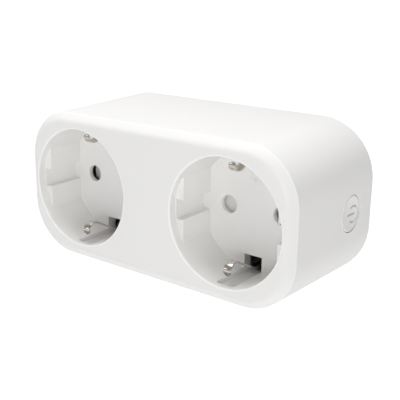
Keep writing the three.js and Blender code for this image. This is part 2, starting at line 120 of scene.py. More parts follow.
def shade(mesh, crease):
    """Smooth shading that breaks at edges sharper than crease degrees. Wide faces square to an axis stay
    flat, so that none picks up the slope of the round beside it."""
    count = len(mesh.polygons)
    normals = np.empty(count * 3)
    areas = np.empty(count)
    mesh.polygons.foreach_get("normal", normals)
    mesh.polygons.foreach_get("area", areas)
    square = np.abs(normals.reshape(-1, 3)).max(1) > SQUARE_ON
    mesh.polygons.foreach_set("use_smooth", ~(square & (areas > WIDE_FACE * MM * MM)))
    mesh.set_sharp_from_angle(angle=math.radians(crease))
    mesh.update()


def new_piece(name, points, faces, crease=30.0):
    """A mesh object with its place in its vertices: coincident points merged and faces turned
    outwards."""
    mesh = bpy.data.meshes.new(name)
    mesh.from_pydata((points.reshape(-1, 3) * MM).tolist(), [], faces)
    work = bmesh.new()
    work.from_mesh(mesh)
    bmesh.ops.remove_doubles(work, verts=work.verts, dist=MERGE * MM)
    bmesh.ops.recalc_face_normals(work, faces=work.faces)
    work.to_mesh(mesh)
    work.free()
    shade(mesh, crease)
    piece = bpy.data.objects.new(name, mesh)
    bpy.context.scene.collection.objects.link(piece)
    return piece


def solid_of_rings(name, rings, crease=30.0):
    """A closed solid through rings of points, capped by the first and the last ring."""
    rows, columns = rings.shape[:2]
    faces = grid_quads(rows, columns).tolist()
    faces.append(list(range(columns - 1, -1, -1)))
    faces.append(list(range((rows - 1) * columns, rows * columns)))
    return new_piece(name, rings, faces, crease)


def closed_ring(name, rings, crease=30.0):
    """A closed solid through rings of points whose last ring joins the first, like a tube bent into a
    ring."""
    return new_piece(name, rings, grid_quads(*rings.shape[:2], close_rows=True).tolist(), crease)


def combine(body, tools, operation="DIFFERENCE"):
    """Cuts the tools from a solid, or joins them to it, and removes the tools."""
    for tool in tools:
        step = body.modifiers.new(tool.name, "BOOLEAN")
        step.operation = operation
        step.solver = "MANIFOLD"
        step.object = tool
    graph = bpy.context.evaluated_depsgraph_get()
    result = bpy.data.meshes.new_from_object(body.evaluated_get(graph))
    body.modifiers.clear()
    body.data = result
    result.name = body.name
    for tool in tools:
        bpy.data.objects.remove(tool)
    shade(result, 30.0)
    return body


def filleted(points, radii, closed=False, steps=6):
    """A path whose corners are arcs. Each corner is cut back along both sides by its radius times the
    tangent of half its turn, and an arc of that radius joins the two cuts. A radius of 0 keeps the
    corner."""
    points = np.array(points, float)
    path = []
    for k, (corner, radius) in enumerate(zip(points, radii)):
        before, after = points[k - 1], points[(k + 1) % len(points)]
        at_end = not closed and k in (0, len(points) - 1)
        if radius == 0 or at_end:
            path.append(corner)
            continue
        come = (corner - before) / np.linalg.norm(corner - before)
        go = (after - corner) / np.linalg.norm(after - corner)
        turn = math.atan2(come[0] * go[1] - come[1] * go[0], come @ go)
        cut = radius * math.tan(abs(turn) / 2)
        side = np.array([-come[1], come[0]]) * math.copysign(1, turn)
        start, middle = corner - come * cut, corner - come * cut + side * radius
        for t in np.linspace(0, turn, steps):
            spin = np.array([[math.cos(t), -math.sin(t)], [math.sin(t), math.cos(t)]])
            path.append(middle + spin @ (start - middle))
    return np.array(path)


def turned(name, profile, x, z, steps=72, axis="y", crease=30.0):
    """A round solid: profile pairs (radius, distance along the axis) carried once around the axis. The
    axis runs along Y through (x, z), or along X through the button's centre."""
    profile = np.array(profile, float)
    around = np.linspace(0, 2 * math.pi, steps, endpoint=False)
    radius, along = profile[:, :1], profile[:, 1:]
    across, up = radius * np.cos(around), radius * np.sin(around)
    level = np.broadcast_to(along, across.shape)
    if axis == "y":
        rings = np.stack([x + across, level, z + up], -1)
    else:
        rings = np.stack([level, BUTTON_Y + across, up], -1)
    return solid_of_rings(name, rings, crease)


def rod(name, radius, low, high, x, z, steps, axis="y"):
    """A plain round solid between two distances along its axis."""
    return turned(name, [(0, low), (radius, low), (radius, high), (0, high)], x, z, steps, axis)


def block(name, x, y, z):
    """A rectangular solid between pairs of coordinates."""
    (x0, x1), (z0, z1) = sorted(x), sorted(z)
    rings = [[(x0, level, z0), (x1, level, z0), (x1, level, z1), (x0, level, z1)] for level in sorted(y)]
    return solid_of_rings(name, np.array(rings, float))


QUADRANTS = ((1, 1), (-1, 1), (-1, -1), (1, -1))
CORNER_STEPS = 28
FLAT_SUPPORT = 1.5  # from a corner's end to the extra point on each straight side


def corner_rings(profile):
    """Rounded rectangles, one for each (corner radius, y) pair: four quarter circles about the corner
    centres of the housing, with one more point a little way into each straight side to keep the sides
    flat."""
    quarter = np.linspace(0, math.pi / 2, CORNER_STEPS)
    angles, centres = [], []
    for k, (sx, sz) in enumerate(QUADRANTS):
        start, end = k * math.pi / 2, (k + 1) * math.pi / 2
        back = FLAT_SUPPORT * np.array([math.sin(start), -math.cos(start)])
        ahead = FLAT_SUPPORT * np.array([-math.sin(end), math.cos(end)])
        centre = np.array([sx * CENTRE_X, sz * CENTRE_Z])
        angles += [start, *(start + quarter), end]
        centres += [centre + back, *[centre] * CORNER_STEPS, centre + ahead]
    angles, centres = np.array(angles), np.array(centres)
    profile = np.array(profile, float)
    radius = profile[:, :1]
    x = centres[:, 0] + radius * np.cos(angles)
    z = centres[:, 1] + radius * np.sin(angles)
    return np.stack([x, np.broadcast_to(profile[:, 1:], x.shape), z], -1)


def smooth_line(points, steps):
    """A curve through given points. Between two points it is the cubic whose slope at each point is half the
    step from the point before to the point after."""
    points = np.array(points, float)
    padded = np.vstack([2 * points[0] - points[1], points, 2 * points[-1] - points[-2]])
    t = np.linspace(0, 1, steps, endpoint=False)[:, None]
    runs = []
    for a, b, c, d in zip(padded, padded[1:], padded[2:], padded[3:]):
        square, cube = 2 * a - 5 * b + 4 * c - d, 3 * b - a - 3 * c + d
        runs.append(0.5 * (2 * b + (c - a) * t + square * t**2 + cube * t**3))
    return np.vstack([*runs, points[-1:]])


# ------------------------------------------------------------------ front panel
# A well's measures are taken from its axis (reach, flat, inner) or from the face (depth).
WELL_RADIUS, RIM_ROUND = 19.7, 0.45
ROLL_DEPTH, ROLL_REACH = 2.05, 2.5  # the sloping edge of the face
CREASE_ROUND = 0.22
PAD_FLAT, PAD_DEPTH, PAD_EDGE = 16.65, 3.0, 0.3
SLOT_REACH, SLOT_HALF = 19.3, 3.0
CHANNEL_INNER, CHANNEL_REACH, CHANNEL_HALF, CHANNEL_DEPTH = 14.85, 20.9, 3.25, 2.1
CHANNEL_BEVEL = (0.15, 0.1)  # in reach and in half width
WALL_SUPPORT = 0.8  # from both ends of the well's wall to the extra ring that keeps it flat
CUP_WALL = 1.2
FLOOR_THICKNESS = 2.0
HOLE_RADIUS, HOLE_BEVEL, HOLE_DEPTH = 2.8, 0.25, 1.7
COUNTERBORE_RADIUS = 3.9  # behind each pin hole
COLLAR_DEPTH, COLLAR_SIDE, COLLAR_INNER, COLLAR_OUTER = 1.6, 0.85, 0.8, 0.9
SKIRT_GAP, SKIRT_DEPTH, SKIRT_WALL = 0.25, 5.3, 1.4
POSTS = [(-13, 18.6), (13, 18.6), (-13, -18.6), (13, -18.6)]
POST_RADIUS, POST_ROUND, POST_END = 2.8, 0.3, BACK - 4.8
PILOT_RADIUS, PILOT_DEPTH = 1.6, 13


def well_angles():
    """Angles around a well: even steps, with close steps where the flanks of the slots and channels
    stand, which is 8.3 to 10.7 degrees to both sides of each axis."""
    even = np.linspace(0, 2 * math.pi, 480, endpoint=False)
    flank = np.radians(np.linspace(8.3, 10.7, 40))
    flanks = [k * math.pi / 2 + sign * flank for k in range(4) for sign in (1, -1)]
    return np.unique(np.round(np.concatenate([even, *flanks]) % (2 * math.pi), 7))


WELL_ANGLES = well_angles()


def well_reach(radius, flat=99.0, slot=(0.0, 1.0), channel=(0.0, 1.0)):
    """Distance from a well's axis to its wall at each angle: the largest of three reaches, to the round
    wall cut off by the pads' flats, to the walls of the side slots and to the walls of the clip channels.
    The reach to a straight wall is its distance over the cosine or sine of the angle. Slot and channel
    are pairs of (reach, half width)."""
    across = np.abs(np.cos(WELL_ANGLES)) + 1e-9
    up = np.abs(np.sin(WELL_ANGLES)) + 1e-9
    round_wall = np.minimum(radius, flat / across)
    slots = np.minimum(np.minimum(slot[0] / across, slot[1] / up), radius)
    channels = np.minimum(channel[0] / up, channel[1] / across)
    return np.maximum(round_wall, np.maximum(slots, channels))


def well_rings(x, stages):
    """Rings of points around a well's axis, one for each (y, reach at each angle) pair."""
    rings = []
    for y, reach in stages:
        reach = np.broadcast_to(reach, WELL_ANGLES.shape)
        across, up = x + reach * np.cos(WELL_ANGLES), reach * np.sin(WELL_ANGLES)
        rings.append(np.stack([across, np.full_like(across, y), up], -1))
    return np.array(rings)


def well_hollow(side):
    """The space inside a well. From the front it is a round mouth whose edge is a quarter circle, then
    the channels for the earth clips begin, then the pads with the slots between them, down to the
    floor."""
    mouth = WELL_RADIUS + RIM_ROUND
    stages = [(FRONT - PAST, mouth)]
    for t in np.linspace(0, math.pi / 2, 7):
        stages.append((FRONT + RIM_ROUND * (1 - math.cos(t)), mouth - RIM_ROUND * math.sin(t)))
    channel = (CHANNEL_REACH, CHANNEL_HALF)
    slight = (CHANNEL_REACH - CHANNEL_BEVEL[0], CHANNEL_HALF - CHANNEL_BEVEL[1])
    start = FRONT + CHANNEL_DEPTH
    stages += [(start, WELL_RADIUS), (start, well_reach(WELL_RADIUS, channel=slight))]
    stages.append((start + CHANNEL_BEVEL[0], well_reach(WELL_RADIUS, channel=channel)))
    pads = FRONT + PAD_DEPTH
    stages.append((pads, well_reach(WELL_RADIUS, channel=channel)))
    for t in np.linspace(0, math.pi / 2, 5):
        ease = PAD_EDGE * (1 - math.sin(t))
        reach = well_reach(WELL_RADIUS, PAD_FLAT + ease, (SLOT_REACH, SLOT_HALF + ease), channel)
        stages.append((pads + PAD_EDGE * (1 - math.cos(t)), reach))
    full = well_reach(WELL_RADIUS, PAD_FLAT, (SLOT_REACH, SLOT_HALF), channel)
    stages += [(y, full) for y in (pads + WALL_SUPPORT, FLOOR - WALL_SUPPORT, FLOOR)]
    return solid_of_rings(f"well_{side}", well_rings(SOCKET_X[side], stages))


def well_cup(side):
    """The outside of a well, its wall thickness away from the hollow."""
    reach = well_reach(WELL_RADIUS + CUP_WALL, channel=(CHANNEL_REACH + 1, CHANNEL_HALF + 1.2))
    stages = [(FRONT + 1.5, reach), (FLOOR + FLOOR_THICKNESS, reach)]
    return solid_of_rings(f"cup_{side}", well_rings(SOCKET_X[side], stages))


def opening_collar(side, end):
    """A collar behind the floor that guides an earth clip."""
    x, half = SOCKET_X[side], CHANNEL_HALF + COLLAR_SIDE
    z = (ENDS[end] * (CHANNEL_INNER - COLLAR_INNER), ENDS[end] * (CHANNEL_REACH + COLLAR_OUTER))
    y = (FLOOR + PAST, FLOOR + FLOOR_THICKNESS + COLLAR_DEPTH)
    return block(f"collar_{side}_{end}", (x - half, x + half), y, z)


def pin_hole(side, which):
    """A pin hole with a fine bevel, through the floor and into its counterbore."""
    radius, wide = HOLE_RADIUS, HOLE_RADIUS + HOLE_BEVEL
    back = FLOOR + HOLE_DEPTH
    profile = [(wide, FLOOR - PAST), (wide, FLOOR), (radius, FLOOR + HOLE_BEVEL), (radius, back),
               (COUNTERBORE_RADIUS, back), (COUNTERBORE_RADIUS, FLOOR + FLOOR_THICKNESS + PAST)]
    return turned(f"hole_{side}_{which}", profile, SOCKET_X[side] + which * PIN_X, 0, steps=96)


def clip_opening(side, end):
    """The opening for an earth clip through the floor and its collar, a hair inside its channel's
    walls."""
    hair = 0.05
    x, half = SOCKET_X[side], CHANNEL_HALF - hair
    z = (ENDS[end] * CHANNEL_INNER, ENDS[end] * (CHANNEL_REACH - hair))
    y = (FLOOR - PAST / 2, FLOOR + FLOOR_THICKNESS + PAST + COLLAR_DEPTH)
    return block(f"opening_{side}_{end}", (x - half, x + half), y, z)


def front_panel():
    """The face is a rounded rectangle whose edge is a slope at a steady angle, rounded into the face in
    front and into a fine crease behind. The wells are cut out of it together with the cups behind
    them."""
    roll = filleted(
        [(CORNER - 7, FRONT), (CORNER - ROLL_REACH, FRONT), (CORNER, FRONT + ROLL_DEPTH), (CORNER, SEAM)],
        [0, 3.0, CREASE_ROUND, 0], steps=9,
    )
    panel = solid_of_rings("front_panel_skin", corner_rings([*roll, (CORNER - 0.01, SEAM + 0.01)]))
    out = CORNER - WALL - SKIRT_GAP
    inside, start, end = out - SKIRT_WALL, SEAM - PAST, SEAM + SKIRT_DEPTH
    parts = [closed_ring("skirt", corner_rings([(out, start), (out, end), (inside, end), (inside, start)]))]
    for k, (x, z) in enumerate(POSTS):
        post = [(0, start), (POST_RADIUS, start), (POST_RADIUS, POST_END), (0, POST_END)]
        parts.append(turned(f"post_{k}", filleted(post, [0, 0, POST_ROUND, 0]), x, z, steps=32))
    parts += [well_cup(side) for side in SOCKET_X]
    parts += [opening_collar(side, end) for side in SOCKET_X for end in ENDS]
    combine(panel, parts, "UNION")
    cuts = [well_hollow(side) for side in SOCKET_X]
    for side in SOCKET_X:
        cuts += [pin_hole(side, which) for which in (-1, 1)]
        cuts += [clip_opening(side, end) for end in ENDS]
    for k, (x, z) in enumerate(POSTS):
        cuts.append(rod(f"pilot_{k}", PILOT_RADIUS, POST_END - PILOT_DEPTH, POST_END + PAST, x, z, 24))
    return combine(panel, cuts)


# ------------------------------------------------------------------ body shell and rear cover
SEAM_GAP = 0.06
LEDGE_DEPTH, LEDGE_WIDTH = 2.6, 1.4  # from the back to the ledge that the cover lies on, and its width
BUTTON_HOLE_RADIUS = 5.92
PLATE_THICKNESS, PLATE_GAP = 2.3, 0.12  # thickness, and the gap between the plate and the shell
BOSS_RADIUS, BOSS_HEIGHT = 3.4, 2.2
SCREW_HOLE_RADIUS = 1.5
# Pairs of (radius, y from the back).
SCREW_SEAT = [(0, -1.9), (2.65, -1.9), (2.65, -0.2), (2.9, 0), (2.9, PAST), (0, PAST)]
# The plug body: pairs are (from, to) on the positive side.
SPIGOT_RADIUS, SPIGOT_FLOOR, SPIGOT_ROUND = 19.4, 2.5, 1.0
RECESS_X, RECESS_Z = (16.3, 22), (2.5, 10.4)
RIB_END_X, RIB_END_Z = (18.9, 22), (-3.5, 3.5)
STRIP_SEAT_X, STRIP_SEAT_Z, STRIP_SLOT_Z = (-3.3, 3.3), (16.7, 21), (16.7, 18.2)
PIN_SLEEVE = [(2.55, -0.25), (2.8, 0), (2.8, PAST)]  # radius, y


def body_shell():
    """A closed wall profile, drafted outwards to the back, carried around the housing's rounded
    rectangle, with a ledge inside for the rear cover and the button's round hole through the right
    end."""
    front, ledge = SEAM + SEAM_GAP, BACK - LEDGE_DEPTH
    outer = CORNER + DRAFT
    inner = outer - WALL
    tip = inner - LEDGE_WIDTH
    profile = filleted(
        [(CORNER, front), (outer, BACK), (inner, BACK), (inner, ledge), (tip, ledge),
         (tip, ledge - LEDGE_WIDTH), (inner - 0.2, ledge - 2 * LEDGE_WIDTH), (CORNER - WALL, front)],
        [0.12, 1.5, 0.25, 0.1, 0.1, 0.1, 0.3, 0.1], closed=True, steps=7,
    )
    shell = closed_ring("body_shell_skin", corner_rings(profile))
    out = BUTTON_HIGH[0]
    return combine(shell, [rod("button_hole", BUTTON_HOLE_RADIUS, out - 5, out + 3, 0, 0, 128, "x")])


def signed(sign, pair):
    """A pair of distances on the positive or the negative side."""
    return sign * pair[0], sign * pair[1]


def rear_cover():
    """The back plate with four sunk screw seats, and the hollow plug body with its side recesses, guide
    ribs and seats for the two earth strips."""
    front = BACK - PLATE_THICKNESS
    radius = CORNER + DRAFT - WALL - PLATE_GAP
    plate = [(radius - 4, front), (radius, front), (radius, BACK), (radius - 4, BACK)]
    cover = solid_of_rings("rear_cover_skin", corner_rings(filleted(plate, [0, 0.2, 0.25, 0])))
    spigot = [(0, BACK - PAST), (SPIGOT_RADIUS, BACK - PAST), (SPIGOT_RADIUS, 0), (0, 0)]
    parts = [turned("spigot", filleted(spigot, [0, 0, SPIGOT_ROUND, 0]), 0, 0, steps=160)]
    for k, (x, z) in enumerate(POSTS):
        parts.append(rod(f"boss_{k}", BOSS_RADIUS, front - BOSS_HEIGHT, front + PAST, x, z, 40))
    combine(cover, parts, "UNION")
    hollow_end = -SPIGOT_FLOOR
    cuts = []
    for s in (-1, 1):
        for up in (-1, 1):
            cuts.append(block(f"recess_{s}_{up}", signed(s, RECESS_X), (BACK, PAST), signed(up, RECESS_Z)))
        cuts.append(block(f"rib_end_{s}", signed(s, RIB_END_X), (BACK, PAST), RIB_END_Z))
        cuts.append(block(f"strip_seat_{s}", STRIP_SEAT_X, (BACK, PAST), signed(s, STRIP_SEAT_Z)))
        slot_y = (front - PAST, BACK + PAST)
        cuts.append(block(f"strip_slot_{s}", STRIP_SEAT_X, slot_y, signed(s, STRIP_SLOT_Z)))
        sleeve = [(PIN_SLEEVE[0][0], hollow_end - PAST), *PIN_SLEEVE]
        cuts.append(turned(f"pin_hole_{s}", sleeve, s * PIN_X, 0, steps=64))
    cuts.append(block("hollow", (-14.4, 14.4), (front - PAST, hollow_end), (-9.9, 9.9)))
    cuts.append(block("hollow_tall", (-10.5, 10.5), (front - PAST, hollow_end), (-14.9, 14.9)))
    for k, (x, z) in enumerate(POSTS):
        cuts.append(turned(f"seat_{k}", [(r, BACK + y) for r, y in SCREW_SEAT], x, z, steps=48))
        cuts.append(rod(f"through_{k}", SCREW_HOLE_RADIUS, front - 3, BACK - PAST, x, z, 32))
    return combine(cover, cuts)


# ------------------------------------------------------------------ metal
CLIP_LINE = {  # (depth from the face, reach from the well's axis), from root to tip
    "bottom": [(27.1, 18.9), (19, 18.8), (17, 18.5), (12, 16.2), (8, 14), (5.8, 13.3), (4.2, 13.9),
               (3.1, 15.2), (3.4, 17)],
    "top": [(27.1, 18.9), (19, 18.85), (17, 18.7), (12, 16.9), (8.7, 15.3), (7, 14.8), (5.4, 15.2),
            (4.4, 16.4), (4.5, 17.6)],
}
CLIP_WIDTH, CLIP_THICKNESS = 2.6, 0.65
CLIP_TIP = 0.25  # share of the width that is left at the very tip
PIN_RADIUS, PIN_COLLAR, PIN_TAIL = 2.4, 3.7, 1.5


def strip(name, line, width, thickness, x, round_edge=0.14):
    """A flat strip: a rectangle with rounded corners, width along X and thickness across the line,
    carried along a line of (y, z) points. width is one number for each point of the line."""
    along = np.gradient(line, axis=0)
    along /= np.linalg.norm(along, axis=1)[:, None]
    across = np.stack([-along[:, 1], along[:, 0]], -1)
    quarter = np.linspace(0, math.pi / 2, 4)
    rings = []
    for (y, z), normal, w in zip(line, across, width):
        r = min(round_edge, w / 2 * 0.9)
        ring = []
        for k, (sx, sy) in enumerate(QUADRANTS):
            angle = k * math.pi / 2 + quarter
            sideways = x + sx * (w / 2 - r) + r * np.cos(angle)
            off = sy * (thickness / 2 - r) + r * np.sin(angle)
            ring += [(u, y + normal[0] * v, z + normal[1] * v) for u, v in zip(sideways, off)]
        rings.append(ring)
    return solid_of_rings(name, np.array(rings))


def earth_clip(side, end):
    """The sprung strip of an earth contact: straight through the floor, sloping in towards the plug to a
    crest and curling back into its channel, with a rounded tip."""
    up = ENDS[end]
    line = smooth_line([(FRONT + depth, up * reach) for depth, reach in CLIP_LINE[end]], 12)
    length = np.concatenate([[0], np.cumsum(np.linalg.norm(np.diff(line, axis=0), axis=1))])
    to_tip = np.clip((length[-1] - length) / (CLIP_WIDTH / 2), 0, 1)
    width = CLIP_WIDTH * np.clip(np.sqrt(1 - (1 - to_tip) ** 2), CLIP_TIP, 1)
    return strip(f"earth_clip_{side}_{end}_strip", line, width, CLIP_THICKNESS, SOCKET_X[side])


def plug_pin(name, x):
    """A solid round pin with a domed tip, and its collar and tail inside the plug body."""
    low, high = box_mm(name)
    collar = -SPIGOT_FLOOR - 0.2
    shoulder = collar - 2.2
    profile = filleted(
        [(0, low[1]), (PIN_TAIL, low[1]), (PIN_TAIL, shoulder), (PIN_COLLAR, shoulder), (PIN_COLLAR, collar),
         (PIN_RADIUS, collar), (PIN_RADIUS, high[1]), (0, high[1])],
        [0, 0.3, 0, 0.2, 0.2, 0, 2.0, 0], steps=12,
    )
    return turned(f"{name}_turned", profile, x, 0, steps=72)


def plug_earth_strip(end):
    """The flat side contact of the plug, bent in at the end face."""
    low, _ = box_mm(f"plug_earth_strip_{end}")
    bend = [(low[1], 17.4), (-10, 17.4), (-2.4, 17.4), (-1.2, 17.25), (-0.7, 16.85)]
    line = smooth_line([(y, ENDS[end] * reach) for y, reach in bend], 8)
    width = np.full(len(line), 5.8)
    return strip(f"plug_earth_strip_{end}_pressed", line, width, 0.9, 0, round_edge=0.3)


def cover_screw(number, x, z):
    """A small cross-head screw: a domed head, a plain shank with a thread drawn by fine ridges, and a
    cross recess."""
    low, high = box_mm(f"cover_screw_{number}")
    shank, ridge, pitch, head_radius, head_height = 0.95, 1.2, 0.55, 2.35, 1.2
    arm_reach, arm_half, arm_depth = 1.3, 0.28, 0.8
    top, seat = high[1], high[1] - head_height
    thread = []
    for y in np.arange(low[1] + 1.2, seat - 0.6, pitch):
        thread += [(shank, y), (ridge, y + 0.22)]
    point = [(0, low[1]), (0.5, low[1])]
    head = [(shank, seat), (head_radius, seat), (head_radius, top), (0, top)]
    profile = [*point, *thread, *filleted(head, [0, 0.15, 0.5, 0])]
    screw = turned(f"cover_screw_{number}_head", profile, x, z, steps=48)
    cross = []
    for name, across, up in (("arm_a", arm_reach, arm_half), ("arm_b", arm_half, arm_reach)):
        cross.append(block(name, (x - across, x + across), (top - arm_depth, top + PAST), (z - up, z + up)))
    return combine(screw, cross)


def spring_coil(side):
    """The shutter's torsion spring: a wire circle carried along a helix about the well's axis."""
    low, high = box_mm(f"shutter_spring_{side}")
    wire, turns = 0.2, 4.5
    coil = (high[0] - low[0]) / 2 - wire
    t = np.linspace(0, 1, int(turns * 32))
    angle = 2 * math.pi * turns * t
    y = low[1] + wire + t * (high[1] - low[1] - 2 * wire)
    around = np.linspace(0, 2 * math.pi, 8, endpoint=False)
    reach = coil + wire * np.cos(around)[None, :]
    x = SOCKET_X[side] + reach * np.cos(angle)[:, None]
    z = reach * np.sin(angle)[:, None]
    level = y[:, None] + wire * np.sin(around)[None, :]
    return solid_of_rings(f"shutter_spring_{side}_coil", np.stack([x, level, z], -1), crease=60.0)


# ------------------------------------------------------------------ shutters and button
# The arms whose face lies deeper: 1 towards +X, -1 towards -X.
STEPPED_ARMS = {"left": (1, -1), "right": (1,)}
STEP_DEPTH, STEP_START = 1.9, 5.5
CAP_RADIUS, DISH = 5.72, 0.65
CAP_LIP = 0.5  # width of the level rim round the dished face
FLANGE_RADIUS, FLANGE_THICKNESS = 7, 1.3
SYMBOL_Y, SYMBOL_Z = BUTTON_Y + 2.3, -0.75


def shutter(side):
    """The two-armed shutter: a bar with round ends, the step in its face under the stepped arms, its
    shaft."""
    low, high = box_mm(f"shutter_{side}")
    x, front = SOCKET_X[side], low[1]
    back = front + 2.5
    reach, half = 13.1, 3.7
    angle = np.linspace(0, 2 * math.pi, 128, endpoint=False)
    across = np.clip(np.cos(angle) * reach * 2, -(reach - half), reach - half) + half * np.cos(angle)
    up = half * np.sin(angle)
    rings = []
    for y, inset in ((front, 0.25), (front + 0.25, 0), (back - 0.2, 0), (back, 0.2)):
        shrink = (half - inset) / half
        rings.append(np.stack([x + across * (1 - inset / reach), np.full_like(up, y), up * shrink], -1))
    bar = solid_of_rings(f"shutter_{side}_bar", np.array(rings))
    combine(bar, [rod("shaft", 1.4, front + PAST, high[1], x, 0, 32)], "UNION")
    steps = []
    for arm in STEPPED_ARMS[side]:
        y = (front - PAST, front + STEP_DEPTH)
        steps.append(block(f"step_{arm}", (x + arm * STEP_START, x + arm * (reach + PAST)), y, (-5, 5)))
    return combine(bar, steps)


def cap_face(y, z):
    """X of the button's face: dished, deepest at the centre and level with the rim where the lip
    begins."""
    share = np.minimum(((y - BUTTON_Y) ** 2 + z**2) / (CAP_RADIUS - CAP_LIP) ** 2, 1)
    return BUTTON_HIGH[0] - DISH * (1 - share)


def button_cap():
    """The push button: a dished face with a rounded rim, a flange that holds it behind the wall, and a
    hollow behind the face with the stem that works the switch."""
    face, flange = BUTTON_HIGH[0], BUTTON_LOW[0]
    shoulder = flange + FLANGE_THICKNESS
    edge = filleted(
        [(FLANGE_RADIUS, flange), (FLANGE_RADIUS, shoulder), (CAP_RADIUS, shoulder),
         (CAP_RADIUS, face + 0.05), (CAP_RADIUS - CAP_LIP, face), (0, face)],
        [0, 0.2, 0, 0.35, 0, 0], steps=8,
    )
    radii = np.linspace(CAP_RADIUS - CAP_LIP - 0.1, 0, 20)
    dish = np.stack([radii, cap_face(BUTTON_Y + radii, 0)], -1)
    stem, hollow = 1.6, 4.6
    stem_end, ceiling = face - 4.4, face - 1.2
    inside = [(0, stem_end), (stem, stem_end), (stem, ceiling), (hollow, ceiling), (hollow, flange)]
    profile = [*inside, *edge[:-1], *dish]
    return turned("button_cap_moulding", profile, 0, 0, steps=128, axis="x", crease=35.0)


def stroke(name, line, width, height, place):
    """A raised stroke: a low arch of the given width and height carried along a line of (u, v) points,
    narrowed at both ends. place turns u, v and the lift above the surface into a point."""
    line = np.array(line, float)
    along = np.gradient(line, axis=0)
    along /= np.linalg.norm(along, axis=1)[:, None]
    side = np.stack([-along[:, 1], along[:, 0]], -1)
    arch = np.linspace(0, 2 * math.pi, 16, endpoint=False)
    taper = np.ones(len(line))
    taper[[0, 1, -2, -1]] = 0.35, 0.85, 0.85, 0.35
    out = np.cos(arch) * width / 2 * taper[:, None]
    lift = np.sin(arch) * height * taper[:, None]
    u = line[:, :1] + side[:, :1] * out
    v = line[:, 1:] + side[:, 1:] * out
    return solid_of_rings(name, np.stack(place(u, v, lift), -1))


def arc(radius, start, end, steps=60):
    """Points of an arc about the origin between two angles in degrees."""
    turn = np.radians(np.linspace(start, end, steps))
    return np.stack([radius * np.cos(turn), radius * np.sin(turn)], -1)


def bar(u0, v0, u1, v1):
    """Points of a straight stroke, close together at both ends where it narrows."""
    share = np.array([0, 0.03, 0.1, 0.5, 0.9, 0.97, 1])[:, None]
    return (1 - share) * np.array([u0, v0]) + share * np.array([u1, v1])


def power_symbol():
    """The generic stand-by symbol behind the button's middle, its gap towards the front: an open ring and
    a bar through the gap."""
    def on_face(u, v, lift):
        y, z = SYMBOL_Y + u, SYMBOL_Z + v
        return cap_face(y, z) + lift, y, z

    lines = {"ring": arc(2.55, -132, 132), "bar": bar(-3.3, 0, 1.1, 0)}
    return [stroke(f"button_symbol_{key}", line, 0.7, 0.06, on_face) for key, line in lines.items()]


def earth_mark(side):
    """The generic protective-earth symbol in low relief on a socket's floor, above the well's axis: three
    bars and a stem in a ring."""
    def on_floor(u, v, lift):
        return SOCKET_X[side] + u, FLOOR - lift, 9.8 + v

    lines = {
        "ring": arc(1.7, 0, 356),
        "stem": bar(0, 1.2, 0, 0.1),
        "long_bar": bar(-0.95, 0.05, 0.95, 0.05),
        "middle_bar": bar(-0.62, -0.42, 0.62, -0.42),
        "short_bar": bar(-0.3, -0.85, 0.3, -0.85),
    }
    return [stroke(f"earth_mark_{side}_{key}", line, 0.3, 0.16, on_floor) for key, line in lines.items()]


# ------------------------------------------------------------------ inner parts
def softened(node):
    """The CAD solid of an inner part with its sharp edges rounded: its flat faces are joined up again,
    and every edge turning by more than 30 degrees gets a two-step round."""
    carried = frame["nodes"][node]
    mesh = carried.data.copy()
    mesh.name = f"{node}_softened"
    mesh.transform(carried.matrix_world)
    work = bmesh.new()
    work.from_mesh(mesh)
    bmesh.ops.remove_doubles(work, verts=work.verts, dist=MERGE * MM)
    bmesh.ops.dissolve_limit(work, angle_limit=math.radians(0.5), verts=work.verts, edges=work.edges)
    work.to_mesh(mesh)
    work.free()
    piece = bpy.data.objects.new(mesh.name, mesh)
    bpy.context.scene.collection.objects.link(piece)
    edge = piece.modifiers.new("round", "BEVEL")
    edge.width = 0.15 * MM
    edge.segments = 2
    edge.angle_limit = math.radians(30)
    graph = bpy.context.evaluated_depsgraph_get()
    rounded = bpy.data.meshes.new_from_object(piece.evaluated_get(graph))
    piece.modifiers.clear()
    piece.data = rounded
    shade(rounded, 40)
    return piece


# ------------------------------------------------------------------ finishes
class Wire:
    """One number or colour in a node tree. Sums and products of wires add the Math nodes that work them
    out."""

    def __init__(self, graph, socket):
        self.graph, self.socket = graph, socket

    def math(self, operation, *terms):
        return self.graph.node("ShaderNodeMath", {"operation": operation}, dict(enumerate(terms)))

    def __add__(self, other):
        return self.math("ADD", self, other)

    def __sub__(self, other):
        return self.math("SUBTRACT", self, other)

    def __rsub__(self, other):
        return self.math("SUBTRACT", other, self)

    def __mul__(self, other):
        return self.math("MULTIPLY", self, other)

    __radd__, __rmul__ = __add__, __mul__


class Graph:
    """A node tree that takes nodes one call at a time."""

    def __init__(self, tree):
        self.tree = tree

    def node(self, kind, settings=None, inputs=None, output=0):
        """A node of this kind, its settings made first, then the values or links of its sockets."""
        made = self.tree.nodes.new(kind)
        for key, value in (settings or {}).items():
            setattr(made, key, value)
        for key, value in (inputs or {}).items():
            self.feed(made.inputs[key], value)
        return Wire(self, made.outputs[output])

    def feed(self, socket, value):
        """Puts a constant on a socket or links a wire to it."""
        if isinstance(value, Wire):
            self.tree.links.new(value.socket, socket)
        else:
            socket.default_value = value

    def mix(self, share, first, second):
        """A colour between two colours. Sockets 6 and 7 take a Mix node's colours, and output 2 gives
        one."""
        return self.node("ShaderNodeMix", {"data_type": "RGBA"}, {0: share, 6: first, 7: second}, 2)


